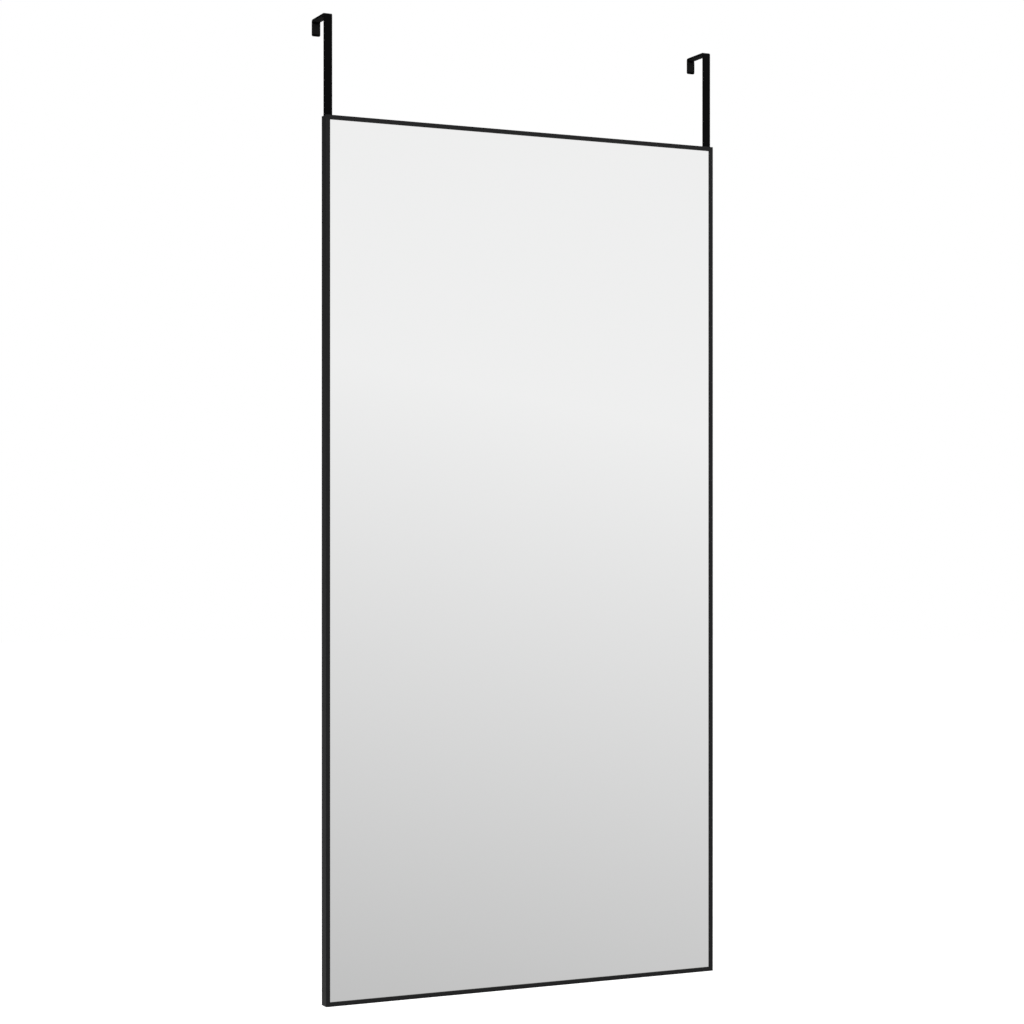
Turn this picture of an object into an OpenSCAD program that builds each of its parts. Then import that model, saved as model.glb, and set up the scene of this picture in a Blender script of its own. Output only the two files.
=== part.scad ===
// Over the door mirror: a thin mitred frame that hangs from two flat bar hooks.
// The origin is on the door's top edge, midway between the hooks and midway through the door.
// +X is to the right as seen from the front, +Y goes into the door and +Z is up.

/* [Frame] */
// Width over the frame
frame_w = 600; // [400:10:700]
// Height over the frame
frame_h = 1200; // [800:10:1600]
// Depth of the frame's outer wall
frame_d = 17; // [17:0.5:22]
// Width of the rim seen from the front
rim_w = 6; // [4.5:0.5:8]
// Thickness of the rim
rim_t = 1.5; // [1.2:0.1:2]
// Thickness of the outer wall and of the mid flange
wall_t = 1.4; // [1.2:0.1:1.8]
// Reach of the mid flange from the outer face
flange_w = 16; // [16:0.5:20]
// Height of the rib on the flange's inner edge
rib_h = 2.2; // [1.5:0.1:2.5]
// Reach of the return lip round the back
return_w = 3.2; // [2:0.1:3.5]

/* [Mirror and back] */
// Thickness of the mirror glass
glass_t = 3; // [3:0.5:4]
// Thickness of the foam tape behind the glass
tape_t = 0.5; // [0.4:0.1:1]
// Width of one strip of foam tape
tape_w = 18; // [12:1:25]
// Number of strips of foam tape
tape_count = 4; // [2:1:6]
// Thickness of the back board
board_t = 3; // [2.5:0.5:3]
// Gap between the glass or the board and the outer wall
edge_gap = 0.8; // [0.5:0.1:1.2]

/* [Hooks] */
// Width of the hook's flat bar
strap_w = 12; // [12:0.5:16]
// Thickness of the flat bar
strap_t = 2.5; // [2:0.1:2.8]
// Height of the hook's top above the frame
hook_rise = 138.5; // [60:0.5:200]
// Length of the back leg, from the hook's top
back_leg = 22.5; // [18:0.5:40]
// Outer radius of the two bends
bend_r = 3; // [3:0.1:5]
// Width cut off the bar's outer edge where it enters the frame
shoulder = 2.5; // [2.4:0.1:3]
// Length of the tongue inside the frame
tongue_l = 64; // [60:1:90]
// Thickness of the felt pads
pad_t = 1; // [0.8:0.1:2]

/* [Door] */
// Thickness of the door that the hooks fit
door_t = 35; // [30:1:45]
// Clearance between the door and the back pad
door_gap = 0.3; // [0.1:0.1:1]

/* [Corners] */
// Thickness of the corner key
key_t = 2; // [1.5:0.1:2.2]
// Length of each of the key's arms
key_arm = 60; // [58:1:80]
// Distance of the first screw from the corner
first_screw = 24; // [22:1:28]
// Distance between the two screws of one arm
screw_pitch = 25; // [20:1:26]
// Diameter of the screws
screw_d = 4; // [3:0.5:4]
// Diameter of the rubber bumpers
bumper_d = 10; // [8:0.5:10]
// How far the bumpers stand out behind the frame
bumper_out = 0.5; // [0.3:0.1:1.5]

/* [Springs] */
// Length of one retaining spring
spring_l = 60; // [40:5:80]
// Width of one retaining spring
spring_w = 14; // [10:1:18]
// Thickness of the spring strip
spring_t = 0.5; // [0.4:0.1:0.8]

/* [Hidden] */
$fn = 96;
e = 0.01;
// Working clearance between metal pieces
fit = 0.1;

// Depths from the front of the rim to the face of each layer
glass_d = rim_t;
tape_d = glass_d + glass_t;
board_d = tape_d + tape_t;
tongue_d = board_d + board_t;
flange_d = tongue_d + strap_t;
channel_d = flange_d + wall_t;
key_back_d = channel_d + key_t;
door_d = frame_d + bumper_out;

// The origin's depth, height and distance to the side
front_y = -door_d - door_t / 2;
frame_top = pad_t + strap_t - hook_rise;
centre_z = frame_top - frame_h / 2;

// The door's faces, the hook's parts and the pads
door_back = door_t / 2 + door_gap;
leg_back = front_y + flange_d;
back_leg_y = door_back + pad_t;
hook_top = pad_t + strap_t;
strap_mid = frame_w / 2 - strap_w / 2;
tongue_w = strap_w - shoulder;
tongue_h = shoulder + tongue_w / 2;

// Head and recess of the screws
head_d = 7;
head_t = 1.9;
head_edge = 0.7;
recess_w = 0.9;
recess_l = 4;
recess_t = 1;
corner_screw_l = 5;
hook_screw_l = 5.5;

// Corner keys lie between the outer wall and the rib
key_out = wall_t + fit;
key_in = flange_w - wall_t - fit;
key_bevel = 5;
bumper_h = 8.7;

// Retaining springs bow from the board to the mid flange
spring_bow = strap_t - spring_t;
spring_r = (pow(spring_l / 2, 2) + pow(spring_bow, 2)) / (2 * spring_bow);
spring_half = asin(spring_l / 2 / spring_r);
spring_h = 4;
spring_spots = [-0.3, 0, 0.3];

// Four sides, counted from the bottom one clockwise as seen from the front
BOTTOM = 0;
LEFT = 1;
TOP = 2;
RIGHT = 3;

function side_length(side) = side % 2 == 0 ? frame_w : frame_h;
function side_offset(side) = side % 2 == 0 ? frame_h / 2 : frame_w / 2;

// Puts children on one side of the frame: X runs along the side from its middle,
// Y goes inwards from the outer face and Z goes back from the front of the rim
module on_side(side) {
    translate([0, front_y, centre_z])
        rotate([0, 90 * side, 0])
            translate([0, 0, -side_offset(side)])
                rotate([90, 0, 180])
                    children();
}

// Puts children at the far end of a side, with the corner at the origin
module at_corner(side) {
    on_side(side) translate([side_length(side) / 2, 0, 0]) children();
}

// Outline of the extrusion: inwards to the right, from the front to the back going up
module rail_section() {
    polygon([
        [0, 0], [rim_w, 0], [rim_w, rim_t], [wall_t, rim_t],
        [wall_t, flange_d], [flange_w, flange_d],
        [flange_w, channel_d + rib_h], [flange_w - wall_t, channel_d + rib_h],
        [flange_w - wall_t, channel_d], [wall_t, channel_d],
        [wall_t, frame_d - wall_t], [return_w, frame_d - wall_t],
        [return_w, frame_d], [0, frame_d]
    ]);
}

// One side of the frame, cut at 45 degrees at both ends. Its screw holes are threaded,
// apart from those at the clear end (-1, 1 or 0 for none), where the hook has the thread
module rail(side, clear_end) {
    half = side_length(side) / 2;
    on_side(side) difference() {
        intersection() {
            translate([-half, 0, 0])
                rotate([90, 0, 90])
                    linear_extrude(2 * half) rail_section();
            translate([0, 0, -e]) linear_extrude(frame_d + 2 * e)
                polygon([
                    [-half, 0], [half, 0],
                    [half - 2 * flange_w, 2 * flange_w], [2 * flange_w - half, 2 * flange_w]
                ]);
        }
        for (end = [-1, 1], i = [0, 1])
            translate([end * (half - first_screw - i * screw_pitch), tongue_h, flange_d - e])
                cylinder(d = screw_d + (end == clear_end ? 2 * fit : 0), h = wall_t + 2 * e);
    }
}

module left_stile() { color("#2b2b2c") rail(LEFT, 1); }

module right_stile() { color("#2b2b2c") rail(RIGHT, -1); }

module bottom_rail() { color("#2b2b2c") rail(BOTTOM, 0); }

// The top rail has a slot for each hook's tongue
module top_rail() {
    color("#2b2b2c") difference() {
        rail(TOP, 0);
        for (end = [-1, 1])
            on_side(TOP)
                translate([end * (frame_w / 2 - tongue_h) - tongue_w / 2 - fit, -e, tongue_d - fit])
                    cube([tongue_w + 2 * fit, wall_t + 2 * e, strap_t + fit]);
    }
}

// A sheet held in the frame, from one depth to another
module sheet(depth, thickness) {
    inset = wall_t + edge_gap;
    translate([inset - frame_w / 2, front_y + depth, centre_z + inset - frame_h / 2])
        cube([frame_w - 2 * inset, thickness, frame_h - 2 * inset]);
}

module mirror_pane() { color("#e6e8e9") sheet(glass_d, glass_t); }

module back_board() { color("#7a5c40") sheet(board_d, board_t); }

// Upright strips of tape, spread evenly over the board
module bonding_tapes() {
    tape_l = frame_h - 100;
    spread = frame_w - 120;
    color("#f2f2ee") for (i = [0 : tape_count - 1])
        translate([
            -spread / 2 + i * spread / (tape_count - 1) - tape_w / 2,
            front_y + tape_d,
            centre_z - tape_l / 2
        ])
            cube([tape_w, tape_t, tape_l]);
}

// One bowed strip: its ends press on the flange and its middle on the board
module spring(side, spot) {
    on_side(side)
        translate([spot * side_length(side), spring_h, tongue_d + spring_r])
            rotate([-90, 0, 0])
                rotate([0, 0, 90 - spring_half])
                    rotate_extrude(angle = 2 * spring_half, $fn = 240)
                        translate([spring_r - spring_t, 0]) square([spring_t, spring_w]);
}

module retaining_springs() {
    color("#9c9fa3") {
        for (side = [LEFT, RIGHT], spot = spring_spots) spring(side, spot);
        for (side = [TOP, BOTTOM]) spring(side, 0);
    }
}

// L-shaped plate behind the flange, with two screw holes in each arm
module corner_key(side) {
    color("#b9bcc0") at_corner(side) translate([0, 0, channel_d]) difference() {
        linear_extrude(key_t) difference() {
            union() {
                translate([-key_arm, key_out]) square([key_arm - key_out, key_in - key_out]);
                translate([-key_in, key_out]) square([key_in - key_out, key_arm - key_out]);
            }
            polygon([[-key_out - key_bevel, -e], [e, key_out + key_bevel], [e, -e]]);
        }
        for (i = [0, 1]) {
            reach = first_screw + i * screw_pitch;
            translate([-reach, tongue_h, -e]) cylinder(d = screw_d + 2 * fit, h = key_t + 2 * e);
            translate([-tongue_h, reach, -e]) cylinder(d = screw_d + 2 * fit, h = key_t + 2 * e);
        }
    }
}

module bottom_left_key() { corner_key(BOTTOM); }

module top_left_key() { corner_key(LEFT); }

module top_right_key() { corner_key(TOP); }

module bottom_right_key() { corner_key(RIGHT); }

// Pan head screw: the head lies on z = 0, the shank goes down and the recess is a cross
module screw(length) {
    difference() {
        union() {
            cylinder(d = head_d, h = head_t - head_edge);
            translate([0, 0, head_t - head_edge])
                cylinder(d1 = head_d, d2 = head_d - 2 * head_edge, h = head_edge);
            translate([0, 0, -length]) cylinder(d = screw_d, h = length + e);
        }
        for (turn = [0, 90])
            rotate([0, 0, turn])
                translate([-recess_l / 2, -recess_w / 2, head_t - recess_t])
                    cube([recess_l, recess_w, recess_t + e]);
    }
}

// The two screws in one arm of a corner key: along its own side, or along the next one
module arm_screws(side, own_arm, length) {
    at_corner(side) for (i = [0, 1]) {
        reach = first_screw + i * screw_pitch;
        translate([own_arm ? -reach : -tongue_h, own_arm ? tongue_h : reach, key_back_d])
            screw(length);
    }
}

// Screws into the frame alone: both arms of the lower keys, the top rail's arms of the upper ones
module corner_screws() {
    color("#c9cbce") {
        arm_screws(BOTTOM, true, corner_screw_l);
        arm_screws(BOTTOM, false, corner_screw_l);
        arm_screws(RIGHT, true, corner_screw_l);
        arm_screws(RIGHT, false, corner_screw_l);
        arm_screws(LEFT, false, corner_screw_l);
        arm_screws(TOP, true, corner_screw_l);
    }
}

// Screws that go on into the tongues of the hooks
module hook_screws() {
    color("#3a3a3c") {
        arm_screws(LEFT, true, hook_screw_l);
        arm_screws(TOP, false, hook_screw_l);
    }
}

// Quarter bend in the bar: turn 0 joins the front leg to the bridge, turn 90 the bridge
// to the back leg
module bend(turn) {
    rotate([0, 90, 0])
        rotate([0, 0, 180 - turn])
            rotate_extrude(angle = 90)
                translate([bend_r - strap_t, 0]) square([strap_t, strap_w]);
}

// The left hook, from its tongue in the frame up over the door and down behind it
module hook() {
    outer = -frame_w / 2;
    tongue_end = frame_top - tongue_l;
    leg_top = hook_top - bend_r;
    leg_front = leg_back - strap_t;
    back_face = back_leg_y + strap_t;
    tip_z = hook_top - back_leg;
    tip_r = 2;
    difference() {
        union() {
            translate([outer, leg_front, tongue_end])
                cube([strap_w, strap_t, leg_top - tongue_end]);
            translate([outer, leg_front + bend_r, leg_top]) bend(0);
            translate([outer, leg_front + bend_r, hook_top - strap_t])
                cube([strap_w, back_face - leg_front - 2 * bend_r, strap_t]);
            translate([outer, back_face - bend_r, leg_top]) bend(90);
            translate([outer, back_leg_y, tip_z + tip_r])
                cube([strap_w, strap_t, leg_top - tip_z - tip_r]);
            translate([outer + tip_r, back_leg_y, tip_z])
                cube([strap_w - 2 * tip_r, strap_t, tip_r]);
            for (x = [tip_r, strap_w - tip_r])
                translate([outer + x, back_face, tip_z + tip_r])
                    rotate([90, 0, 0]) cylinder(r = tip_r, h = strap_t);
        }
        translate([outer - e, leg_front - e, tongue_end - e])
            cube([shoulder + e, strap_t + 2 * e, tongue_l + e]);
        for (i = [0, 1])
            translate([outer + tongue_h, leg_back + e, frame_top - first_screw - i * screw_pitch])
                rotate([90, 0, 0]) cylinder(d = screw_d, h = strap_t + 2 * e);
    }
}

module left_hook() { color("#141414") hook(); }

module right_hook() { color("#141414") mirror([1, 0, 0]) hook(); }

// Felt under the bridge, on the door's top edge
module seat_pad(x) {
    seat_l = door_t - 2;
    color("#1c1c1c") translate([x - strap_w / 2 + 0.5, -seat_l / 2, 0])
        cube([strap_w - 1, seat_l, pad_t]);
}

module left_seat_pad() { seat_pad(-strap_mid); }

module right_seat_pad() { seat_pad(strap_mid); }

// Felt on the inner face of the back leg
module back_pad(x) {
    pad_l = back_leg - strap_t - 6;
    color("#1c1c1c") translate([x - strap_w / 2 + 0.5, door_back, hook_top - back_leg + 2.5])
        cube([strap_w - 1, pad_t, pad_l]);
}

module left_back_pad() { back_pad(-strap_mid); }

module right_back_pad() { back_pad(strap_mid); }

// Rubber disc on the corner of a key, standing out behind the frame
module bumper(side) {
    edge = 0.6;
    reach = door_d - key_back_d;
    color("#202020") at_corner(side) translate([-bumper_h, bumper_h, key_back_d]) {
        cylinder(d = bumper_d, h = reach - edge);
        translate([0, 0, reach - edge])
            cylinder(d1 = bumper_d, d2 = bumper_d - 2 * edge, h = edge);
    }
}

module bottom_left_bumper() { bumper(BOTTOM); }

module top_left_bumper() { bumper(LEFT); }

module top_right_bumper() { bumper(TOP); }

module bottom_right_bumper() { bumper(RIGHT); }

left_stile();
right_stile();
top_rail();
bottom_rail();
mirror_pane();
bonding_tapes();
back_board();
retaining_springs();
top_left_key();
top_right_key();
bottom_left_key();
bottom_right_key();
corner_screws();
hook_screws();
left_hook();
right_hook();
left_seat_pad();
right_seat_pad();
left_back_pad();
right_back_pad();
top_left_bumper();
top_right_bumper();
bottom_left_bumper();
bottom_right_bumper();
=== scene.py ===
"""Over the door mirror: a thin mitred frame round a silvered pane, hung from two flat bar hooks.

Lengths are in metres. +X is to the right as seen from the front, +Y goes into the door and +Z is
up, with the origin on the door's top edge. The exact solids come in as a fixed frame. The members,
hooks, keys, screws, pads and bumpers are rebuilt over them with the small edge radii of real ones,
and everything gets its finish.
"""

import math

import bmesh
import bpy
import numpy as np
from bpy.props import FloatProperty, FloatVectorProperty, PointerProperty
from mathutils.geometry import tessellate_polygon
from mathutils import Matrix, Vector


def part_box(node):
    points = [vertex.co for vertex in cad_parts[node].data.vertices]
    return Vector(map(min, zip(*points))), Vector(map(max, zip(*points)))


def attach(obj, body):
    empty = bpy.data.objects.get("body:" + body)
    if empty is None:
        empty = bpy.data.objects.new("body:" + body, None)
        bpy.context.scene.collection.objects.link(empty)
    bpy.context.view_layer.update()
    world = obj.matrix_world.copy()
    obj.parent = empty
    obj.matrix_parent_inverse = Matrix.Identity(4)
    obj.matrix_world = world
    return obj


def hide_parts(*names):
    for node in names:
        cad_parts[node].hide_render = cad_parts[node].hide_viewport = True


bl_info = {
    "name": "Over the Door Mirror",
    "version": (1, 0, 0),
    "blender": (4, 5, 0),
    "location": "3D View > Sidebar > Door Mirror",
    "description": "Rebuilds the members of a door mirror with real edges and finishes",
    "category": "Add Mesh",
}

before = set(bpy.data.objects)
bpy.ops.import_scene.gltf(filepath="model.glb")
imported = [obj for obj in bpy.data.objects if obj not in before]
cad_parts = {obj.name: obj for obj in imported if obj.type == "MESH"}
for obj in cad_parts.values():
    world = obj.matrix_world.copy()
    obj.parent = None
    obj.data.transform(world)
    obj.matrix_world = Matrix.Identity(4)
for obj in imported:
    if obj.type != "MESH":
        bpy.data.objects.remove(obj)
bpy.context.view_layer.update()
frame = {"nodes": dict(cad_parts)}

BODY = "root"
MM = 0.001

# An edge that turns by more than this stays sharp
CREASE = math.radians(38)

# The four sides, counted from the bottom one clockwise as seen from the front
BOTTOM, LEFT, TOP, RIGHT = range(4)
SIDES = {"bottom_rail": BOTTOM, "left_stile": LEFT, "top_rail": TOP, "right_stile": RIGHT}


def box(node):
    """Lowest and highest corner of a solid, as arrays."""
    low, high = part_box(node)
    return np.array(low), np.array(high)


STILE_LOW, STILE_HIGH = box("left_stile")
RAIL_LOW, RAIL_HIGH = box("top_rail")
PANE_LOW, PANE_HIGH = box("mirror_pane")
KEY_LOW, KEY_HIGH = box("top_left_key")

FRONT = STILE_LOW[1]
DEPTH = STILE_HIGH[1] - FRONT
FLANGE_REACH = STILE_HIGH[0] - STILE_LOW[0]
RIM_THICKNESS = PANE_LOW[1] - FRONT
CHANNEL = KEY_LOW[1] - FRONT
KEY_BACK = KEY_HIGH[1] - FRONT
WIDTH = RAIL_HIGH[0] - RAIL_LOW[0]
HEIGHT = STILE_HIGH[2] - STILE_LOW[2]
CENTRE = (RAIL_HIGH[0] + RAIL_LOW[0]) / 2, (STILE_HIGH[2] + STILE_LOW[2]) / 2
FRAME_TOP = STILE_HIGH[2]


# ---------------------------------------------------------------- settings


def length(name, description, default):
    """A length property."""
    return FloatProperty(
        name=name, description=description, default=default, unit="LENGTH", precision=5
    )


def colour(name, description, default):
    """A linear colour property."""
    return FloatVectorProperty(name=name, description=description, default=default, subtype="COLOR")


def amount(name, description, default):
    """A plain number from 0 to 1."""
    return FloatProperty(name=name, description=description, default=default, subtype="FACTOR")


class FrameSettings(bpy.types.PropertyGroup):
    """Extruded members."""

    rim: length("Rim Width", "Width of the rim seen from the front", 6 * MM)
    wall: length("Wall", "Thickness of the outer wall and the mid flange", 1.4 * MM)
    rib: length("Rib Height", "Height of the rib on the flange's inner edge", 2.2 * MM)
    lip: length("Return Lip", "Reach of the return lip round the back", 3.2 * MM)
    edge: length("Edge Radius", "Radius of the section's corners", 0.35 * MM)
    groove: length("Mitre Groove", "Depth of the fine groove along each mitre", 0.25 * MM)
    colour: colour("Colour", "Black anodised aluminium", (0.0115, 0.0115, 0.012))
    roughness: amount("Roughness", "Mean roughness of the anodised skin", 0.42)


class HookSettings(bpy.types.PropertyGroup):
    """Flat bar hooks."""

    thickness: length("Thickness", "Thickness of the flat bar", 2.5 * MM)
    bend: length("Bend Radius", "Outer radius of the two bends", 3 * MM)
    shoulder: length("Shoulder", "Width cut off the outer edge inside the frame", 2.5 * MM)
    edge: length("Edge Radius", "Radius along the bar's edges", 0.45 * MM)
    tip: length("Tip Radius", "Radius of the two corners of the back leg", 2 * MM)
    colour: colour("Colour", "Black powder coat", (0.0012, 0.0012, 0.0013))
    roughness: amount("Roughness", "Mean roughness of the powder coat", 0.5)


class PaneSettings(bpy.types.PropertyGroup):
    """Silvered pane."""

    paint: colour("Back Paint", "Grey paint that protects the silver from behind", (0.16, 0.175, 0.17))
    edge: colour("Edge", "Green edge of the cut glass", (0.03, 0.1, 0.07))
    silver: colour("Silver", "Colour of a reflection in the pane", (0.942, 0.944, 0.943))
    roughness: amount("Roughness", "Roughness of the polished glass", 0.012)


class BackSettings(bpy.types.PropertyGroup):
    """Board and tape behind the pane."""

    fibre: colour("Light Fibre", "Lightest fibres of the hardboard", (0.29, 0.165, 0.083))
    core: colour("Dark Fibre", "Darkest fibres of the hardboard", (0.115, 0.058, 0.028))
    tape: colour("Tape", "Foam tape", (0.78, 0.78, 0.74))


class HardwareSettings(bpy.types.PropertyGroup):
    """Corner keys, screws and springs."""

    key_arm: length("Key Arm", "Length of a corner key's arm from the frame's corner", 60 * MM)
    key_bevel: length("Key Bevel", "Bevel across the key's outer corner", 3.5 * MM)
    fit: length("Fit", "Clearance between a key and its channel", 0.1 * MM)
    first_screw: length("First Screw", "Distance of the first screw from the corner", 24 * MM)
    pitch: length("Screw Pitch", "Distance between the two screws of an arm", 25 * MM)
    head: length("Head", "Diameter of a screw's head", 7 * MM)
    head_height: length("Head Height", "Height of a screw's head", 1.9 * MM)
    shank: length("Shank", "Diameter of a screw's shank", 4 * MM)
    corner_reach: length("Corner Screw", "Length of a corner screw under its head", 5 * MM)
    hook_reach: length("Hook Screw", "Length of a hook screw under its head", 5.5 * MM)
    zinc: colour("Zinc", "Zinc plated steel", (0.66, 0.67, 0.68))
    blued: colour("Blued Steel", "Blued spring strip", (0.16, 0.175, 0.21))
    black: colour("Black Screws", "Black oxide on the hook screws", (0.035, 0.035, 0.037))


class PadSettings(bpy.types.PropertyGroup):
    """Felt pads and rubber bumpers."""

    inset: length("Bumper Inset", "Distance of a bumper's middle from both outer faces", 8.7 * MM)
    felt: colour("Felt", "Pressed felt", (0.005, 0.005, 0.005))
    rubber: colour("Rubber", "Black rubber", (0.018, 0.018, 0.018))


class StageSettings(bpy.types.PropertyGroup):
    """Camera, floor and light."""

    left: length("Camera Left", "How far the camera stands left of the middle", 1.3661)
    distance: length("Camera Distance", "How far the camera stands in front of the rim", 2.8443)
    height: length("Camera Height", "Height of the camera above the door's top edge", -0.7019)
    yaw: FloatProperty(
        name="Yaw",
        description="Turn of the view to the right",
        default=math.radians(25.264),
        subtype="ANGLE",
    )
    lens: FloatProperty(name="Lens", description="Focal length in millimetres", default=79.218)
    shift: FloatProperty(name="Shift", description="Vertical shift of the lens", default=0.02363)
    floor: length("Floor", "Height of the floor under a two metre door", -2.0)
    ambient: amount("Ambient", "Level of the soft light from all round", 0.62)


class DoorMirrorSettings(bpy.types.PropertyGroup):
    """All settings, one group for each set of pieces."""

    frame: PointerProperty(type=FrameSettings)
    hooks: PointerProperty(type=HookSettings)
    pane: PointerProperty(type=PaneSettings)
    back: PointerProperty(type=BackSettings)
    hardware: PointerProperty(type=HardwareSettings)
    pads: PointerProperty(type=PadSettings)
    stage: PointerProperty(type=StageSettings)


# ---------------------------------------------------------------- shapes


def rounded_outline(corners, radius, steps=6, support=0.15 * MM):
    """Counterclockwise outline with an arc in place of every corner, and its outward normals.

    With a and b the unit directions from a corner to its neighbours and w the angle between
    them, the arc's centre lies on their bisector at r / sin(w / 2), and its ends on the sides at
    r / tan(w / 2). The arc is the spherical blend of the two directions from the centre to its
    ends. A support point on each straight beside the arc keeps flat faces flat in the shading.
    """
    corners = np.asarray(corners, float)
    to_last = np.roll(corners, 1, axis=0) - corners
    to_next = np.roll(corners, -1, axis=0) - corners
    a = to_last / np.linalg.norm(to_last, axis=1, keepdims=True)
    b = to_next / np.linalg.norm(to_next, axis=1, keepdims=True)
    angle = np.arccos(np.clip((a * b).sum(1), -1, 1))[:, None]
    bisector = (a + b) / np.linalg.norm(a + b, axis=1, keepdims=True)
    centre = corners + bisector * radius / np.sin(angle / 2)
    tangent = radius / np.tan(angle / 2)
    start = (corners + a * tangent - centre) / radius
    end = (corners + b * tangent - centre) / radius
    swing = np.pi - angle[:, :, None]
    part = np.linspace(0, 1, steps + 1)[None, :, None]
    blend = np.sin((1 - part) * swing) * start[:, None] + np.sin(part * swing) * end[:, None]
    blend = blend / np.sin(swing)
    arc = centre[:, None] + radius * blend
    before = (corners + a * (tangent + support))[:, None]
    after = (corners + b * (tangent + support))[:, None]
    convex = np.sign(a[:, 1] * b[:, 0] - a[:, 0] * b[:, 1])[:, None, None]
    points = np.concatenate([before, arc, after], axis=1)
    normals = convex * np.concatenate([blend[:, :1], blend, blend[:, -1:]], axis=1)
    return points.reshape(-1, 2), normals.reshape(-1, 2)


def rounded_end(radius, flat, steps=4, support=0.2 * MM):
    """Stations that round the end of a sweep: distance from the end, and inset of the outline.

    A quarter circle: at angle t the distance is r (1 - cos t) and the inset r (1 - sin t). One
    station within it, on the flat end, and one behind it, on the long faces, keep both flat in
    the shading.
    """
    t = np.linspace(0, np.pi / 2, steps + 1)
    distance = np.concatenate([[0], radius * (1 - np.cos(t)), [radius + support]])
    inset = np.concatenate([[radius + flat], radius * (1 - np.sin(t)), [0]])
    return distance, inset


def rounded_plate(outline, normals, low, high, radius):
    """An outline carried through a plate's thickness, with both faces' edges rounded: the drawn
    outlines, shape (stations, points, 2), and the places of the stations."""
    distance, inset = rounded_end(radius, 0.15 * MM, support=0)
    place = np.concatenate([low + distance[:-1], high - distance[-2::-1]])
    inset = np.concatenate([inset[:-1], inset[-2::-1]])
    return outline[None] - inset[:, None, None] * normals[None], place


def circles(centres, radius, around=32):
    """Circles in a plane, shape (centres, around, 2)."""
    t = np.linspace(0, 2 * np.pi, around, endpoint=False)
    return np.asarray(centres)[:, None] + radius * np.stack([np.cos(t), np.sin(t)], -1)


def lifted(flat, value, axis=2):
    """Points of a plane with their constant third coordinate put in at an axis."""
    return np.insert(flat, axis, value, axis=-1)


def on_side(side, points):
    """From a side's own axes (along from its middle, inwards, back from the rim) to the object's.

    The bottom side's points are laid out first, and a quarter turn clockwise about the pane's
    middle takes them to each next side.
    """
    along, inwards, back = np.moveaxis(np.asarray(points, float), -1, 0)
    offset = (HEIGHT if side in (BOTTOM, TOP) else WIDTH) / 2
    x, z = -along, inwards - offset
    cos, sin = ((1, 0), (0, 1), (-1, 0), (0, -1))[side]
    return np.stack([x * cos + z * sin + CENTRE[0], back + FRONT, z * cos - x * sin + CENTRE[1]], -1)


def half_length(side):
    """Half the outer length of a side."""
    return (WIDTH if side in (BOTTOM, TOP) else HEIGHT) / 2


def screw_line(settings):
    """Distance of every screw's axis from the outer face: the middle of a hook's tongue."""
    low, high = box("left_hook")
    return (high[0] - low[0] + settings.hooks.shoulder) / 2


def screw_reaches(hardware):
    """Distances of an arm's two screws from the frame's corner."""
    return hardware.first_screw + hardware.pitch * np.arange(2)


def tube(rings):
    """Closed skin over rings of points, shape (rings, points, 3): vertices and faces."""
    count, around = rings.shape[:2]
    index = np.arange(count * around).reshape(count, around)
    after = np.roll(index, -1, axis=1)
    sides = np.stack([index[:-1], after[:-1], after[1:], index[1:]], axis=-1).reshape(-1, 4)
    faces = sides.tolist() + [index[0].tolist(), index[-1].tolist()]
    return rings.reshape(-1, 3), faces


def pierce(skin, cuts):
    """Skin with holes through pairs of its flat faces.

    A cut holds the numbers of the two faces and the holes' rims on each, shape (holes, points,
    3). Both faces are filled afresh between their own border and the rims, and quads from rim to
    rim line the holes.
    """
    points, faces = skin
    made = []
    for cells, rims in cuts:
        first = len(points)
        holes, around = rims[0].shape[:2]
        index = first + np.arange(2 * holes * around).reshape(2, holes, around)
        points = np.concatenate([points, np.reshape(rims, (-1, 3))])
        for cell, rim, numbers in zip(cells, rims, index):
            corners = np.concatenate([faces[cell], numbers.ravel()])
            loops = [points[faces[cell]], *rim]
            filled = tessellate_polygon([(loop / MM).tolist() for loop in loops])
            made += corners[np.array(filled)].tolist()
        after = np.roll(index, -1, axis=2)
        made += np.stack([index[0], after[0], after[1], index[1]], -1).reshape(-1, 4).tolist()
    gone = {cell for cells, _ in cuts for cell in cells}
    return points, [face for number, face in enumerate(faces) if number not in gone] + made


def new_piece(name, skins, finish, node_names):
    """A mesh object made of closed skins, in place of the solids that it stands for. Its flat
    faces are filled afresh with even triangles, so that none is without area."""
    vertices, faces, first = [], [], 0
    for points, polygons in skins:
        vertices.append(points)
        faces += [[v + first for v in polygon] for polygon in polygons]
        first += len(points)
    mesh = bpy.data.meshes.new(name)
    mesh.from_pydata(np.concatenate(vertices).tolist(), [], faces)
    work = bmesh.new()
    work.from_mesh(mesh)
    bmesh.ops.triangulate(work, faces=[face for face in work.faces if len(face.verts) > 4])
    bmesh.ops.beautify_fill(work, faces=work.faces, edges=work.edges)
    bmesh.ops.recalc_face_normals(work, faces=work.faces)
    work.to_mesh(mesh)
    work.free()
    mesh.polygons.foreach_set("use_smooth", np.ones(len(mesh.polygons), bool))
    mesh.set_sharp_from_angle(angle=CREASE)
    mesh.materials.append(finish)
    piece = bpy.data.objects.new(name, mesh)
    bpy.context.scene.collection.objects.link(piece)
    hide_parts(*node_names)
    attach(piece, BODY)
    return piece


def paint(node, finish):
    """Gives a solid that keeps its own mesh its finish."""
    mesh = frame["nodes"][node].data
    mesh.materials.clear()
    mesh.materials.append(finish)


# ---------------------------------------------------------------- finishes


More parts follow.
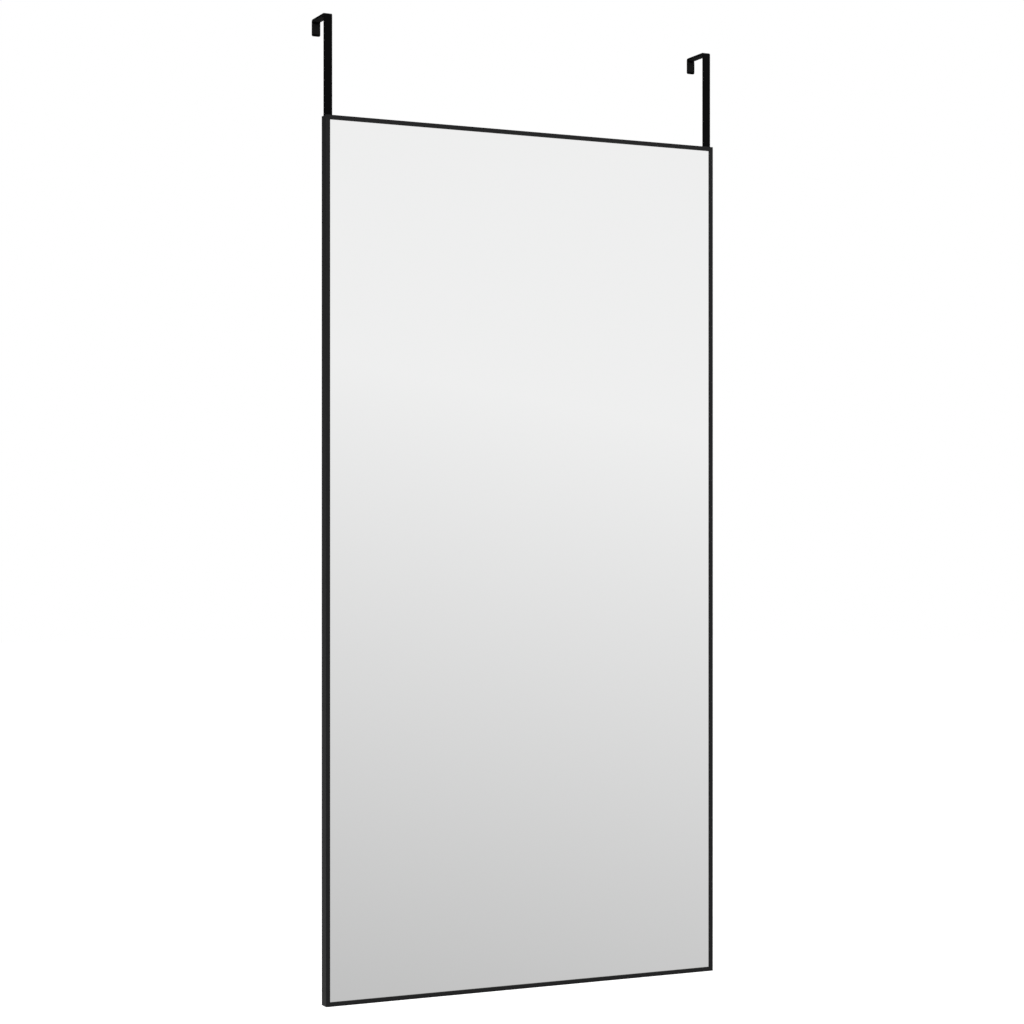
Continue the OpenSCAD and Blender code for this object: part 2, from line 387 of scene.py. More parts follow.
class Value:
    """A node's output that takes part in arithmetic: every operation adds a Math node."""

    def __init__(self, tree, socket):
        self.tree = tree
        self.socket = socket

    def math(self, operation, first, second):
        return self.tree.node("Math", {"operation": operation}, {0: first, 1: second})

    def __add__(self, other):
        return self.math("ADD", self, other)

    __radd__ = __add__

    def __sub__(self, other):
        return self.math("SUBTRACT", self, other)

    def __rsub__(self, other):
        return self.math("SUBTRACT", other, self)

    def __mul__(self, other):
        return self.math("MULTIPLY", self, other)

    __rmul__ = __mul__

    def __gt__(self, other):
        return self.math("GREATER_THAN", self, other)

    def __lt__(self, other):
        return self.math("LESS_THAN", self, other)

    def atleast(self, other):
        return self.math("MAXIMUM", self, other)

    def atmost(self, other):
        return self.math("MINIMUM", self, other)


class Finish:
    """Node tree of a material or of the world, with one method that adds any node."""

    def __init__(self, owner):
        owner.use_nodes = True
        self.owner = owner
        self.nodes = owner.node_tree.nodes
        self.links = owner.node_tree.links
        self.nodes.clear()

    def node(self, kind, settings=None, inputs=None, out=0):
        """Adds a node: its settings first, then the values or links of its sockets. A socket is
        called by its number, identifier or name."""
        made = self.nodes.new("ShaderNode" + kind)
        for key, value in (settings or {}).items():
            setattr(made, key, value)
        by_identifier = {socket.identifier: socket for socket in made.inputs}
        for key, value in (inputs or {}).items():
            socket = made.inputs[key] if isinstance(key, int) else by_identifier.get(key)
            socket = socket or made.inputs[key]
            if isinstance(value, Value):
                self.links.new(value.socket, socket)
            else:
                socket.default_value = value
        return Value(self, made.outputs[out]) if made.outputs else None

    def place(self, longer=(1, 1, 1), turn=0.0):
        """Object coordinates that make a pattern longer along each axis, after a turn of the
        axes about the depth."""
        at = self.node("TexCoord", out="Object")
        if longer == (1, 1, 1):
            return at
        inputs = {"Vector": at, "Rotation": (0, turn, 0), "Scale": longer}
        return self.node("Mapping", {"vector_type": "TEXTURE"}, inputs)

    def noise(self, at, size, detail=3.0, roughness=0.5):
        """Noise from about 0 to 1 whose features are of the given size in metres."""
        inputs = {"Vector": at, "Scale": 1 / size, "Detail": detail, "Roughness": roughness}
        return self.node("TexNoise", {}, inputs)

    def mix(self, factor, first, second):
        """Blend of two colours."""
        inputs = {"Factor_Float": factor, "A_Color": first, "B_Color": second}
        return self.node("Mix", {"data_type": "RGBA"}, inputs, out=2)

    def relief(self, height, distance, strength=1.0):
        """Normal from a height of 0 to 1 over a distance in metres."""
        inputs = {"Height": height, "Distance": distance, "Strength": strength}
        return self.node("Bump", {}, inputs)

    def end(self, shader, kind="OutputMaterial"):
        """Joins the last shader to the output."""
        self.node(kind, {}, {"Surface": shader})
        return self.owner


def material(name):
    """An empty material to be finished."""
    return Finish(bpy.data.materials.new(name))


def opaque(rgb):
    """A colour with its alpha."""
    return (*rgb, 1.0)


def shade(rgb, factor):
    """A colour made darker or lighter."""
    return opaque([value * factor for value in rgb])


def principled(finish, inputs):
    """Ends a material in a Principled shader."""
    return finish.end(finish.node("BsdfPrincipled", {}, inputs))


def anodised(settings, name, longer):
    """Satin black anodised aluminium with faint die lines along the member."""
    f = material(name)
    lines = f.noise(f.place(longer), 0.35 * MM, 2)
    grain = f.noise(f.place(), 0.12 * MM, 2)
    cloud = f.noise(f.place(), 60 * MM, 3)
    tone = (0.6 * lines + 0.4 * cloud).atmost(1)
    colour = f.mix(tone, shade(settings.colour, 0.7), shade(settings.colour, 1.3))
    rough = settings.roughness - 0.08 + 0.11 * lines + 0.05 * cloud
    normal = f.relief(0.7 * lines + 0.3 * grain, 0.01 * MM, 0.7)
    inputs = {"Base Color": colour, "Roughness": rough, "Normal": normal}
    return principled(f, {**inputs, "Specular IOR Level": 0.12})


def powder_coat(settings):
    """Black powder coat with a fine orange peel."""
    f = material("black_powder_coat")
    peel = f.noise(f.place(), 0.9 * MM, 2, 0.4)
    grain = f.noise(f.place(), 0.18 * MM, 2)
    cloud = f.noise(f.place(), 25 * MM, 2)
    colour = f.mix(cloud, shade(settings.colour, 0.8), shade(settings.colour, 1.25))
    rough = settings.roughness - 0.05 + 0.08 * grain + 0.04 * cloud
    normal = f.relief(0.8 * peel + 0.2 * grain, 0.03 * MM, 0.7)
    inputs = {"Base Color": colour, "Roughness": rough, "Normal": normal}
    return principled(f, {**inputs, "Specular IOR Level": 0.04})


def silvered_glass(settings):
    """Mirror with a barely uneven polish. Its depth tells the clear face from the cut edges and
    the painted back."""
    f = material("silvered_glass")
    back = f.node("SeparateXYZ", {}, {"Vector": f.place()}, out="Y")
    skin = 0.05 * MM
    face = back < PANE_LOW[1] + skin
    painted = back > PANE_HIGH[1] - skin
    cloud = f.noise(f.place(), 180 * MM, 2)
    haze = f.noise(f.place(), 2 * MM, 3)
    silver = f.mix(cloud, shade(settings.silver, 0.997), opaque(settings.silver))
    paint_coat = f.mix(haze, shade(settings.paint, 0.9), shade(settings.paint, 1.1))
    rest = f.mix(painted, opaque(settings.edge), paint_coat)
    colour = f.mix(face, rest, silver)
    rough = face * (settings.roughness + 0.004 * haze) + (1 - face) * (0.12 + 0.43 * painted)
    return principled(f, {"Base Color": colour, "Roughness": rough, "Metallic": face})


def hardboard(settings):
    """Brown hardboard: short fibres in three directions over a matted ground, and a few dark
    flecks."""
    f = material("brown_hardboard")
    matted = f.noise(f.place(), 1.1 * MM, 6, 0.7)
    longer = (6, 1, 1)
    turns = (0.3, 1.35, 2.4)
    level, rising, falling = [f.noise(f.place(longer, turn), 0.32 * MM, 3) for turn in turns]
    fibres = level.atleast(rising).atleast(falling)
    cloud = f.noise(f.place(), 90 * MM, 3)
    flecks = f.noise(f.place(), 0.9 * MM, 1)
    dark = ((flecks - 0.66) * 9).atleast(0).atmost(1)
    tone = (1.1 * matted + 1.3 * fibres + 0.18 * cloud - 0.88).atleast(0).atmost(1)
    colour = f.mix(tone, opaque(settings.core), opaque(settings.fibre))
    colour = f.mix(0.7 * dark, colour, shade(settings.core, 0.45))
    normal = f.relief(0.5 * matted + 0.5 * fibres, 0.1 * MM, 0.5)
    rough = 0.62 + 0.18 * matted
    return principled(f, {"Base Color": colour, "Roughness": rough, "Normal": normal})


def foam_tape(settings):
    """White foam with fine cells."""
    f = material("white_foam")
    cells = f.node("TexVoronoi", {}, {"Vector": f.place(), "Scale": 1 / (0.4 * MM)})
    colour = f.mix(cells, shade(settings.tape, 1.0), shade(settings.tape, 0.8))
    normal = f.relief(cells, 0.1 * MM, 0.5)
    return principled(f, {"Base Color": colour, "Roughness": 0.9 - 0.1 * cells, "Normal": normal})


def plated(name, rgb, roughness, grain):
    """Plated or blued steel: metallic, with a fine rolled grain and a faint cloudy tint."""
    f = material(name)
    rolled = f.noise(f.place((1, 1, 25)), grain, 3)
    cloud = f.noise(f.place(), 7 * MM, 3, 0.6)
    warm = [rgb[0] * 1.06, rgb[1] * 1.0, rgb[2] * 0.9]
    cool = [rgb[0] * 0.9, rgb[1] * 0.97, rgb[2] * 1.06]
    colour = f.mix((2.4 * cloud - 0.7).atleast(0).atmost(1), opaque(warm), opaque(cool))
    rough = roughness - 0.06 + 0.16 * rolled + 0.08 * cloud
    normal = f.relief(rolled, 0.006 * MM, 0.6)
    inputs = {"Base Color": colour, "Roughness": rough, "Metallic": 1.0, "Normal": normal}
    return principled(f, inputs)


def pressed_felt(settings):
    """Black felt with crossing fibres."""
    f = material("black_felt")
    across = f.noise(f.place((1, 8, 1)), 0.12 * MM, 3)
    along = f.noise(f.place((8, 1, 1)), 0.12 * MM, 3)
    clumps = f.noise(f.place(), 1.2 * MM, 3)
    fibres = across.atleast(along)
    colour = f.mix(fibres, shade(settings.felt, 0.5), shade(settings.felt, 2.2))
    normal = f.relief(0.6 * fibres + 0.4 * clumps, 0.15 * MM, 0.8)
    inputs = {"Base Color": colour, "Roughness": 0.95, "Normal": normal}
    return principled(f, {**inputs, "Specular IOR Level": 0.1})


def black_rubber(settings):
    """Moulded rubber with a matt skin."""
    f = material("black_rubber")
    skin = f.noise(f.place(), 0.25 * MM, 3)
    cloud = f.noise(f.place(), 4 * MM, 2)
    colour = f.mix(cloud, shade(settings.rubber, 0.8), shade(settings.rubber, 1.3))
    normal = f.relief(skin, 0.02 * MM, 0.6)
    return principled(f, {"Base Color": colour, "Roughness": 0.66 + 0.12 * skin, "Normal": normal})


# ---------------------------------------------------------------- operators


class DOORMIRROR_OT_frame(bpy.types.Operator):
    """Carry the extrusion's section along the four sides and mitre it"""

    bl_idname = "door_mirror.frame"
    bl_label = "Frame Members"

    # Corners of the section at which its pierced faces start
    WALL_INSIDE, FLANGE_FRONT, FLANGE_BACK, WALL_OUTSIDE = 3, 4, 8, 13
    SLOT_RADIUS = 0.3 * MM

    def section(self, s):
        """Corners of the extrusion: inwards from the outer face, and back from the rim."""
        flange = CHANNEL - s.wall
        return [
            (0, 0), (s.rim, 0), (s.rim, RIM_THICKNESS), (s.wall, RIM_THICKNESS),
            (s.wall, flange), (FLANGE_REACH, flange),
            (FLANGE_REACH, CHANNEL + s.rib), (FLANGE_REACH - s.wall, CHANNEL + s.rib),
            (FLANGE_REACH - s.wall, CHANNEL), (s.wall, CHANNEL),
            (s.wall, DEPTH - s.wall), (s.lip, DEPTH - s.wall),
            (s.lip, DEPTH), (0, DEPTH),
        ]

    def member(self, s, side):
        """Rings along one side: the mitre puts a point at the half length less its own reach
        inwards, and the outline draws in over the groove at each end."""
        outline, normals = rounded_outline(self.section(s), s.edge, steps=5, support=0.1 * MM)
        distance, inset = rounded_end(s.groove, 0.06 * MM, steps=3)
        drawn = outline[None] - inset[:, None, None] * normals[None]
        reach = half_length(side) - drawn[..., 0] - distance[:, None]
        far = np.stack([reach, drawn[..., 0], drawn[..., 1]], -1)
        near = far * (-1, 1, 1)
        skin = tube(on_side(side, np.concatenate([near, far[::-1]])))
        return pierce(skin, self.cuts(s, side, len(outline), len(distance) - 1))

    def cuts(self, s, side, around, station):
        """Screw holes through the mid flange, and in the top rail a slot for each tongue. A face
        is numbered by its station and by the corner of the section that it starts from. Inside
        the wall the slot's back stays clear of the fillet between wall and flange."""
        settings = bpy.context.scene.door_mirror
        each = around // len(self.section(s))

        def face(corner):
            return station * around + corner * each + each - 1

        line = screw_line(settings)
        ends = half_length(side) - screw_reaches(settings.hardware)
        centres = [(along, line) for along in (*ends, *-ends)]
        holes = circles(centres, settings.hardware.shank / 2)
        rims = [lifted(holes, CHANNEL - s.wall), lifted(holes, CHANNEL)]
        flange_faces = face(self.FLANGE_FRONT), face(self.FLANGE_BACK)
        cuts = [(flange_faces, [on_side(side, rim) for rim in rims])]
        if side == TOP:
            gap = settings.hardware.fit
            wide = line - settings.hooks.shoulder + gap
            middle = half_length(side) - line
            flange = CHANNEL - s.wall
            front = flange - settings.hooks.thickness - gap
            rims = []
            for inwards, back in ((0, flange), (s.wall, flange - 1.3 * s.edge)):
                corners = [(-wide, front), (wide, front), (wide, back), (-wide, back)]
                slot = rounded_outline(corners, self.SLOT_RADIUS, steps=5)[0]
                pair = np.stack([slot + (middle, 0), slot - (middle, 0)])
                rims.append(on_side(side, lifted(pair, inwards, 1)))
            cuts.append(((face(self.WALL_OUTSIDE), face(self.WALL_INSIDE)), rims))
        return cuts

    def execute(self, context):
        s = context.scene.door_mirror.frame
        upright = anodised(s, "anodised_upright", (1, 1, 500))
        level = anodised(s, "anodised_level", (500, 1, 1))
        for node, side in SIDES.items():
            finish = level if side in (BOTTOM, TOP) else upright
            new_piece(node + "_skin", [self.member(s, side)], finish, [node])
        return {"FINISHED"}


class DOORMIRROR_OT_hooks(bpy.types.Operator):
    """Bend the two flat bars over the door"""

    bl_idname = "door_mirror.hooks"
    bl_label = "Hooks"

    PAD_TO_TIP = 2.5 * MM
    STEP = 0.01 * MM  # Height over which the shoulder steps out
    BESIDE = 0.2 * MM  # From a step or a bend to the station that keeps the straight flat

    def track(self, s, low, high):
        """Stations along the bar: the centre of curvature (y, z), the turn about it, the inset
        of the outline at both ends, the narrowing at the tip and the shoulder in the frame."""
        front, back = low[1] + s.bend, high[1] - s.bend
        level = high[2] - s.bend
        tip = box("left_back_pad")[0][2] - self.PAD_TO_TIP
        arc = np.linspace(0, np.pi / 2, 9)
        distance, inset = rounded_end(0.7 * s.edge, 0.1 * MM)
        corner = s.tip * (1 - np.cos(arc[1:]))
        to_tip = np.append(0, np.unique(np.concatenate([distance, corner])))
        tip_inset = np.append(inset[0], np.interp(to_tip[1:], distance[1:], inset[1:]))
        short = np.clip(s.tip - to_tip, 0, s.tip)
        narrow = s.tip - np.sqrt(s.tip**2 - short**2)

        def run(y, z, turn, inset=0, narrow=0, shoulder=0):
            columns = np.broadcast_arrays(np.atleast_1d(y), z, turn, inset, narrow, shoulder)
            return np.stack(columns)

        below = FRAME_TOP + np.array([-self.BESIDE, 0])
        above = FRAME_TOP + np.array([self.STEP, self.BESIDE])
        bridge = [front + self.BESIDE, back - self.BESIDE]
        runs = [
            run(front, low[2] + distance, 0, inset=inset, shoulder=s.shoulder),
            run(front, below, 0, shoulder=s.shoulder),
            run(front, above, 0),
            run(front, level - self.BESIDE, 0),
            run(front, level, arc),
            run(bridge, level, np.pi / 2),
            run(back, level, arc + np.pi / 2),
            run(back, level - self.BESIDE, np.pi),
            run(back, tip + to_tip[::-1], np.pi, inset=tip_inset[::-1], narrow=narrow[::-1]),
        ]
        return np.concatenate(runs, axis=1)[..., None]

    def bar(self, s, node):
        """The bar's section carried round the bends. A point at depth b from the inner face lies
        at the inner radius plus b from the centre of curvature, in the direction (-cos t, sin t)
        of the turn t. The tip's corners are circles in the bar's width, and the outer edge steps
        in by the shoulder inside the frame, where two holes take the screws."""
        low, high = box(node)
        outward = -1 if low[0] < 0 else 1
        inner_x = high[0] if outward < 0 else low[0]
        width = high[0] - low[0]
        y, z, turn, inset, narrow, shoulder = self.track(s, low, high)
        corners = [(0, 0), (width, 0), (width, s.thickness), (0, s.thickness)]
        outline, normals = rounded_outline(corners, s.edge, steps=5)
        drawn = outline[None] - inset[..., None] * normals[None]
        outer_half = outline[:, 0] > width / 2
        across = drawn[..., 0] + narrow * np.where(outer_half, -1, 1) - shoulder * outer_half
        radius = s.bend - s.thickness + drawn[..., 1]
        rings = [inner_x + outward * across, y - radius * np.cos(turn), z + radius * np.sin(turn)]

        settings = bpy.context.scene.door_mirror
        middle = inner_x + outward * (width - s.shoulder) / 2
        heights = FRAME_TOP - screw_reaches(settings.hardware)
        holes = circles([(middle, height) for height in heights], settings.hardware.shank / 2)
        rims = [lifted(holes, low[1] + s.thickness, 1), lifted(holes, low[1], 1)]
        around = len(outline)
        first = (int(np.argmax(inset == 0)) + 1) * around
        faces = first + around // 4 - 1, first + 3 * around // 4 - 1
        return pierce(tube(np.stack(rings, -1)), [(faces, rims)])

    def execute(self, context):
        s = context.scene.door_mirror.hooks
        coat = powder_coat(s)
        for node in ("left_hook", "right_hook"):
            new_piece(node + "_bar", [self.bar(s, node)], coat, [node])
        return {"FINISHED"}


class DOORMIRROR_OT_pane(bpy.types.Operator):
    """Silver the mirror pane"""

    bl_idname = "door_mirror.pane"
    bl_label = "Mirror Pane"

    def execute(self, context):
        paint("mirror_pane", silvered_glass(context.scene.door_mirror.pane))
        return {"FINISHED"}


class DOORMIRROR_OT_back(bpy.types.Operator):
    """Finish the board and the tape behind the pane"""

    bl_idname = "door_mirror.back"
    bl_label = "Back Board"

    def execute(self, context):
        s = context.scene.door_mirror.back
        paint("back_board", hardboard(s))
        paint("bonding_tapes", foam_tape(s))
        return {"FINISHED"}


class DOORMIRROR_OT_hardware(bpy.types.Operator):
    """Stamp the corner keys and drive in the screws"""

    bl_idname = "door_mirror.hardware"
    bl_label = "Keys, Screws and Springs"

    # For each arm with screws, the corner's side and whether the arm is that side's own or the
    # next side's
    CORNER_ARMS = (
        (BOTTOM, True), (BOTTOM, False), (RIGHT, True),
        (RIGHT, False), (LEFT, False), (TOP, True),
    )
    HOOK_ARMS = ((LEFT, True), (TOP, False))
    KEYS = {
        "bottom_left_key": BOTTOM, "top_left_key": LEFT,
        "top_right_key": TOP, "bottom_right_key": RIGHT,
    }
    TURN = 0.7  # Turn of each screw against the one before

    def key(self, s, wall, side):
        """An L-shaped plate: its rounded outline carried through the key's thickness."""
        out, inner = wall + s.fit, FLANGE_REACH - wall - s.fit
        corners = [
            (-s.key_arm, out), (-out - s.key_bevel, out), (-out, out + s.key_bevel),
            (-out, s.key_arm), (-inner, s.key_arm), (-inner, inner), (-s.key_arm, inner),
        ]
        outline, normals = rounded_outline(corners, 0.6 * MM, steps=5)
        drawn, place = rounded_plate(outline, normals, CHANNEL, KEY_BACK, radius=0.25 * MM)
        depth = np.broadcast_to(place[:, None], drawn.shape[:2])
        corner = half_length(side), 0, 0
        skin = tube(on_side(side, np.dstack([drawn, depth]) + corner))
        line = screw_line(bpy.context.scene.door_mirror)
        reaches = screw_reaches(s)
        centres = [(-reach, line) for reach in reaches] + [(-line, reach) for reach in reaches]
        holes = circles(centres, s.shank / 2 + s.fit)
        rims = [on_side(side, lifted(holes, depth) + corner) for depth in (CHANNEL, KEY_BACK)]
        caps = len(skin[1]) - 2, len(skin[1]) - 1
        return pierce(skin, [(caps, rims)])

    def screw(self, s, reach, middle, turn):
        """A pan head screw as rings about its axis. The head's face is a shallow dome, with a
        quarter circle down to its side, and a cross is pressed into it: the depth is the larger
        of two bars, each a product of soft steps across and along. Under the head the rings
        follow the shank down to its bevelled tip."""
        head, shank = s.head / 2, s.shank / 2
        edge, fall, under, bevel = 0.7 * MM, 0.12 * MM, 0.1 * MM, 0.4 * MM
        pin = 0.04 * MM
        t = np.linspace(0, np.pi / 2, 7)[1:]
        face = np.linspace(pin, head - edge, 30)
        dome = s.head_height - fall * (face / head) ** 2
        side = head - edge + edge * np.sin(t)
        rim = dome[-1] - edge + edge * np.cos(t)
        radius = np.concatenate([face, side, [head, head - under, shank, shank, shank - bevel, pin]])
        height = np.concatenate([dome, rim, [under, 0, 0, bevel - reach, -reach, -reach]])
        around = np.linspace(0, 2 * np.pi, 96, endpoint=False)
        x = radius[:, None] * np.cos(around)
        y = radius[:, None] * np.sin(around)

        half_long, run_out = 2.0 * MM, 1.1 * MM
        half_wide, flank = 0.52 * MM, 0.16 * MM
        depth = 0.95 * MM

        def bar(a, b):
            along = np.clip((half_long - np.abs(a)) / run_out, 0, 1)
            across = np.clip((half_wide - np.abs(b)) / flank, 0, 1)
            return along * across

        cos, sin = math.cos(turn), math.sin(turn)
        u, v = x * cos + y * sin, y * cos - x * sin
        pressed = np.maximum(bar(u, v), bar(v, u)) * depth
        pressed[len(face):] = 0
        z = height[:, None] - pressed
        return np.stack([x + middle[0], y + middle[1], z + KEY_BACK], -1)

    def arm_screws(self, s, line, arms, reach):
        """Skins of the two screws in each arm."""
        skins = []
        for side, own in arms:
            for away in screw_reaches(s):
                along, inwards = (-away, line) if own else (-line, away)
                middle = along + half_length(side), inwards
                rings = self.screw(s, reach, middle, self.TURN * len(skins))
                skins.append(tube(on_side(side, rings)))
        return skins

    def execute(self, context):
        s = context.scene.door_mirror.hardware
        wall = context.scene.door_mirror.frame.wall
        line = screw_line(context.scene.door_mirror)
        zinc = plated("zinc_plate", s.zinc, roughness=0.34, grain=0.3 * MM)
        black = plated("black_oxide", s.black, roughness=0.42, grain=0.3 * MM)
        for node, side in self.KEYS.items():
            new_piece(node + "_plate", [self.key(s, wall, side)], zinc, [node])
        corner = self.arm_screws(s, line, self.CORNER_ARMS, s.corner_reach)
        new_piece("corner_screw_set", corner, zinc, ["corner_screws"])
        hook = self.arm_screws(s, line, self.HOOK_ARMS, s.hook_reach)
        new_piece("hook_screw_set", hook, black, ["hook_screws"])
        blued = plated("blued_strip", s.blued, roughness=0.3, grain=0.2 * MM)
        paint("retaining_springs", blued)
        return {"FINISHED"}


class DOORMIRROR_OT_pads(bpy.types.Operator):
    """Stick on the felt pads and the rubber bumpers"""

    bl_idname = "door_mirror.pads"
    bl_label = "Pads and Bumpers"

    FELT = ("left_seat_pad", "right_seat_pad", "left_back_pad", "right_back_pad")
    BUMPERS = {
        "bottom_left_bumper": BOTTOM, "top_left_bumper": LEFT,
        "top_right_bumper": TOP, "bottom_right_bumper": RIGHT,
    }

    def pad(self, node):
        """A cut piece of felt: a rounded rectangle carried through its thinnest direction."""
        low, high = box(node)
        thin = int(np.argmin(high - low))
        wide, tall = [axis for axis in range(3) if axis != thin]
        (x0, y0), (x1, y1) = low[[wide, tall]], high[[wide, tall]]
        corners = [(x0, y0), (x1, y0), (x1, y1), (x0, y1)]
        outline, normals = rounded_outline(corners, 0.8 * MM, steps=5)
        drawn, place = rounded_plate(outline, normals, low[thin], high[thin], radius=0.3 * MM)
        rings = np.empty((*drawn.shape[:2], 3))
        rings[..., (wide, tall)] = drawn
        rings[..., thin] = place[:, None]
        return tube(rings)

    def bumper(self, s, node, side):
        """A moulded disc: the face falls away by a shallow parabola towards the rim, and a
        quarter circle leads down to the side."""
        low, high = box(node)
        disc = (high[0] - low[0]) / 2
        edge, fall, under, pin = 0.9 * MM, 0.08 * MM, 0.1 * MM, 0.1 * MM
        t = np.linspace(0, np.pi / 2, 7)[1:]
        face = np.linspace(pin, disc - edge, 6)
        crown = high[1] - FRONT - fall * (face / disc) ** 2
        turned_down = disc - edge + edge * np.sin(t)
        rim = crown[-1] - edge + edge * np.cos(t)
        radius = np.concatenate([face, turned_down, [disc, disc - under, pin]])
        height = np.concatenate([crown, rim, [KEY_BACK + under, KEY_BACK, KEY_BACK]])
        around = np.linspace(0, 2 * np.pi, 64, endpoint=False)
        along = half_length(side) - s.inset + radius[:, None] * np.cos(around)
        inwards = s.inset + radius[:, None] * np.sin(around)
        depth = np.broadcast_to(height[:, None], along.shape)
        return tube(on_side(side, np.stack([along, inwards, depth], -1)))

    def execute(self, context):
        s = context.scene.door_mirror.pads
        felt = pressed_felt(s)
        rubber = black_rubber(s)
        for node in self.FELT:
            new_piece(node + "_felt", [self.pad(node)], felt, [node])
        for node, side in self.BUMPERS.items():
            new_piece(node + "_disc", [self.bumper(s, node, side)], rubber, [node])
        return {"FINISHED"}


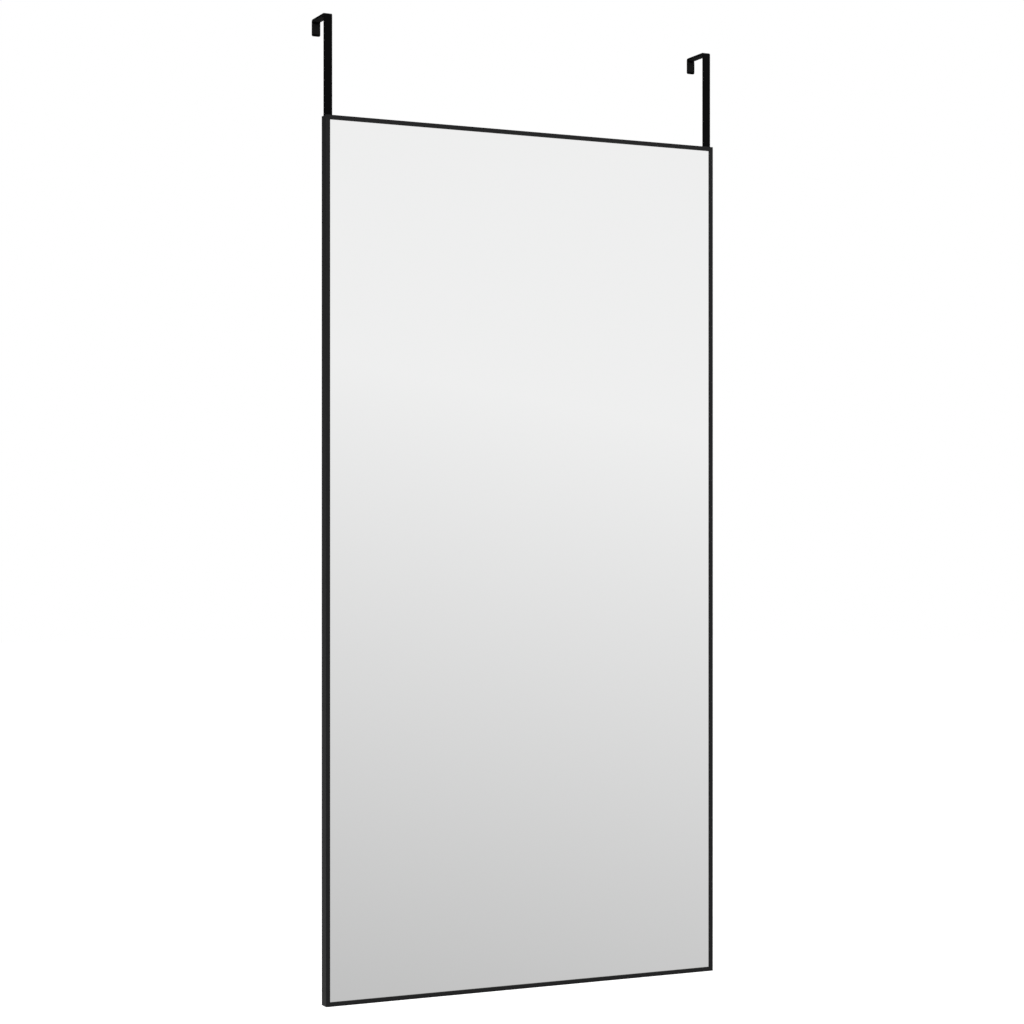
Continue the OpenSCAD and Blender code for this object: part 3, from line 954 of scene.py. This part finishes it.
class DOORMIRROR_OT_stage(bpy.types.Operator):
    """Set the camera, the floor, the lamps and the light from all round"""

    bl_idname = "door_mirror.stage"
    bl_label = "Stage"

    # Each lamp: its place, its size and its power
    LAMPS = {
        "key": ((-2.8, -2.2, 2.3), 1.6, 85),
        "fill": ((2.8, -2.4, 2.3), 1.6, 30),
        "back": ((0.8, 3.0, 2.3), 2.0, 60),
    }
    FLOOR_RADIUS = 25.0
    FLOOR_GLOW = 0.53  # Added for the camera alone, so that the lit floor reaches white

    def camera(self, s):
        """The camera stands level, left of the mirror, and looks to the right."""
        data = bpy.data.cameras.new("camera")
        data.lens = s.lens
        data.shift_y = s.shift
        data.clip_end = 100
        camera = bpy.data.objects.new("camera", data)
        camera.location = (-s.left, FRONT - s.distance, s.height)
        camera.rotation_euler = (math.pi / 2, 0, -s.yaw)
        bpy.context.scene.collection.objects.link(camera)
        bpy.context.scene.camera = camera

    def floor(self, s):
        """A wide pale disc that keeps shadows, and reads as white to the camera elsewhere."""
        rim = circles([(0, 0)], self.FLOOR_RADIUS, around=96)[0]
        mesh = bpy.data.meshes.new("floor")
        mesh.from_pydata(lifted(rim, s.floor).tolist(), [], [list(range(len(rim)))])
        f = material("pale_floor")
        camera_ray = f.node("LightPath", out="Is Camera Ray")
        glossy_ray = f.node("LightPath", out="Is Glossy Ray")
        pale = f.node("BsdfDiffuse", {}, {"Color": (0.82, 0.82, 0.82, 1)})
        glow = f.node("Emission", {}, {"Color": (1, 1, 1, 1), "Strength": self.FLOOR_GLOW})
        white = f.node("AddShader", {}, {0: pale, 1: glow})
        clear = f.node("BsdfTransparent")
        shown = f.node("MixShader", {}, {0: camera_ray, 1: pale, 2: white})
        shown = f.node("MixShader", {}, {0: glossy_ray, 1: shown, 2: clear})
        mesh.materials.append(f.end(shown))
        floor = bpy.data.objects.new("floor", mesh)
        bpy.context.scene.collection.objects.link(floor)

    def world(self, s):
        """White to the camera, an even soft light on the object, and in reflections a studio.
        Before the object the wall's light is linear in the direction and falls off below eye
        level and to the left, until the floor takes over, which gets lighter as it comes nearer.
        Behind the object, where the door stands, all is duller, and falls off upwards."""
        world = bpy.data.worlds.new("studio")
        bpy.context.scene.world = world
        f = Finish(world)
        camera_ray = f.node("LightPath", out="Is Camera Ray")
        glossy_ray = f.node("LightPath", out="Is Glossy Ray")
        through_ray = f.node("LightPath", out="Is Transmission Ray")
        direction = {"Vector": f.node("TexCoord", out="Generated")}
        side, away, up = [f.node("SeparateXYZ", {}, direction, out=axis) for axis in "XYZ"]
        wall_level, wall_rise, wall_right = 0.72, 1.258, 0.273
        near_level, near_fall = 0.36, 0.45
        seam, brightest = 0.12, 0.915
        door_level, door_fall, dullest, door_most = 0.25, 1.5, 0.08, 0.6
        beside, turn_rate = 0.5, 1.2

        wall = wall_level + wall_rise * up + wall_right * side
        near = near_level - near_fall * up
        joined = f.node("Math", {"operation": "SMOOTH_MAX"}, {0: wall, 1: near, 2: seam})
        before = joined.atmost(brightest)
        behind = (door_level - door_fall * up).atleast(dullest).atmost(door_most)
        turned = (beside + turn_rate * away).atleast(0).atmost(1)
        level = (1 - turned) * before + turned * behind
        lit = glossy_ray * level + (1 - glossy_ray) * s.ambient
        seen = camera_ray.atleast(through_ray)
        strength = seen + (1 - seen) * lit
        back = f.node("Background", {}, {"Color": (1, 1, 1, 1), "Strength": strength})
        f.end(back, "OutputWorld")

    def lamp(self, name, place, size, power, target):
        """A square area lamp that faces a point."""
        data = bpy.data.lights.new(name, "AREA")
        data.size = size
        data.energy = power
        lamp = bpy.data.objects.new(name, data)
        lamp.location = place
        way = np.array(target, float) - np.array(place, float)
        yaw = math.atan2(-way[0], way[1])
        pitch = math.atan2(math.hypot(way[0], way[1]), -way[2])
        lamp.rotation_euler = (pitch, 0, yaw)
        bpy.context.scene.collection.objects.link(lamp)

    def execute(self, context):
        s = context.scene.door_mirror.stage
        self.camera(s)
        self.floor(s)
        self.world(s)
        for name, (place, size, power) in self.LAMPS.items():
            self.lamp(name, place, size, power, target=(0, FRONT, CENTRE[1]))
        context.scene.view_settings.view_transform = "Standard"
        return {"FINISHED"}


class DOORMIRROR_PT_panel(bpy.types.Panel):
    """Lists the operators in the sidebar"""

    bl_idname = "DOORMIRROR_PT_panel"
    bl_label = "Over the Door Mirror"
    bl_space_type = "VIEW_3D"
    bl_region_type = "UI"
    bl_category = "Door Mirror"

    def draw(self, context):
        for operator in OPERATORS:
            self.layout.operator(operator.bl_idname)


SETTINGS = (
    FrameSettings, HookSettings, PaneSettings, BackSettings,
    HardwareSettings, PadSettings, StageSettings, DoorMirrorSettings,
)
OPERATORS = (
    DOORMIRROR_OT_frame, DOORMIRROR_OT_hooks, DOORMIRROR_OT_pane, DOORMIRROR_OT_back,
    DOORMIRROR_OT_hardware, DOORMIRROR_OT_pads, DOORMIRROR_OT_stage,
)
CLASSES = (*SETTINGS, *OPERATORS, DOORMIRROR_PT_panel)


def register():
    """Registers the classes and hangs the settings on the scene."""
    for cls in CLASSES:
        bpy.utils.register_class(cls)
    bpy.types.Scene.door_mirror = PointerProperty(type=DoorMirrorSettings)


def unregister():
    """Takes the settings and the classes away again."""
    del bpy.types.Scene.door_mirror
    for cls in reversed(CLASSES):
        bpy.utils.unregister_class(cls)


def main():
    """Makes every group of pieces and the stage."""
    register()
    bpy.ops.door_mirror.frame()
    bpy.ops.door_mirror.hooks()
    bpy.ops.door_mirror.pane()
    bpy.ops.door_mirror.back()
    bpy.ops.door_mirror.hardware()
    bpy.ops.door_mirror.pads()
    bpy.ops.door_mirror.stage()


if __name__ == "__main__":
    main()
